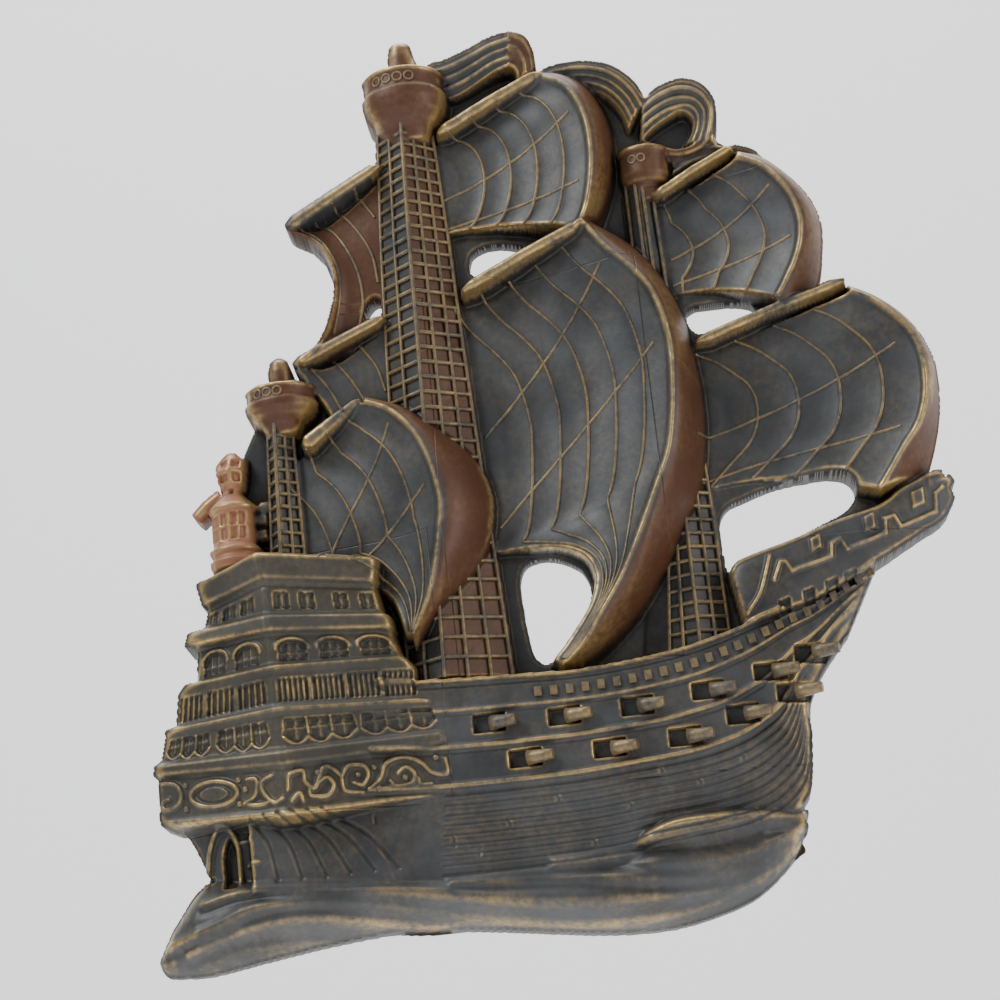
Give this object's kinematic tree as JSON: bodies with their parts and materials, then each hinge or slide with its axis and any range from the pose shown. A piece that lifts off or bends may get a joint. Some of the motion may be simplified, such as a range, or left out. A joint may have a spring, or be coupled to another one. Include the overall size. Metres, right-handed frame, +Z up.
{
  "type": "decorative wall plaque",
  "caption": "Moulded relief wall plaque of a galleon under full sail on a swell, pierced between its sails, with a flat back and a keyhole for a nail.",
  "frame": {"origin": "on the flat back face, near the middle of the plaque, where the wall touches it", "axes": "+X towards the bow, +Y into the wall, +Z up towards the mastheads"},
  "size_m": [0.3044, 0.0384, 0.352],
  "materials": {
    "bronze_patina": "satin black-brown patina with gold rubbed on the high edges and copper on the sail backs"
  },
  "bodies": {
    "root": {"galleon_plaque": "bronze_patina"}
  },
  "joints": []
}
